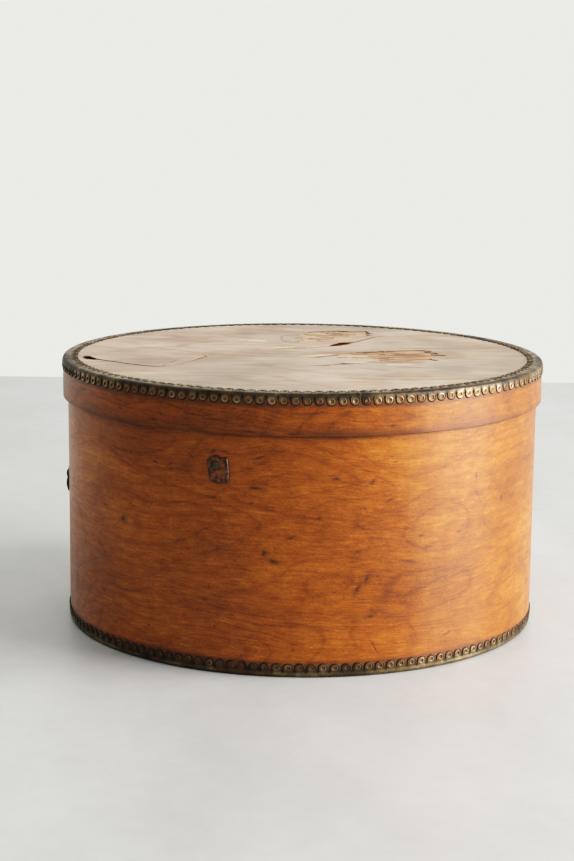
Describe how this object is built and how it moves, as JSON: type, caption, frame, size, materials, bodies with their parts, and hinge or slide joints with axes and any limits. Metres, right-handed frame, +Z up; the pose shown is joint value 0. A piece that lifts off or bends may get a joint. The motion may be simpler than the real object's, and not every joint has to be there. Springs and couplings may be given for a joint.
{
  "type": "hat box",
  "caption": "Round bent-plywood hat box with a lift-off lid, scalloped metal edge binding at top and base, and cut-off riveted leather straps.",
  "frame": {"origin": "on the box's axis, at the level of the surface that it stands on", "axes": "+Z up along the box's axis, -Y towards the front, +X to the right of someone facing the front"},
  "size_m": [0.4014, 0.4014, 0.221],
  "materials": {
    "varnished_ply": "amber shellac varnish over bent plywood, worn satin",
    "bare_ply": "bare plywood, aged",
    "worn_veneer": "faded and torn varnished veneer",
    "edge_metal": "embossed strip, dark tarnish, rubbed bright on the edge",
    "strap_leather": "dark brown bridle leather, cracked",
    "rivet_metal": "dull, oxidised"
  },
  "bodies": {
    "box": {"wall_hoop": "varnished_ply", "base_disc": "bare_ply", "base_binding": "edge_metal", "front_strap_stub": "strap_leather", "front_strap_rivet": "rivet_metal", "front_strap_burr": "rivet_metal", "side_strap_stub": "strap_leather", "side_strap_rivet": "rivet_metal", "side_strap_burr": "rivet_metal"},
    "lid": {"lid_hoop": "varnished_ply", "lid_panel": "bare_ply", "lid_face_veneer": "worn_veneer", "lid_binding": "edge_metal"}
  },
  "joints": [
    {"name": "lid_lift", "type": "slide", "parent": "box", "child": "lid", "axis": [0, 0, 1], "range_m": [0, 0.25]}
  ]
}
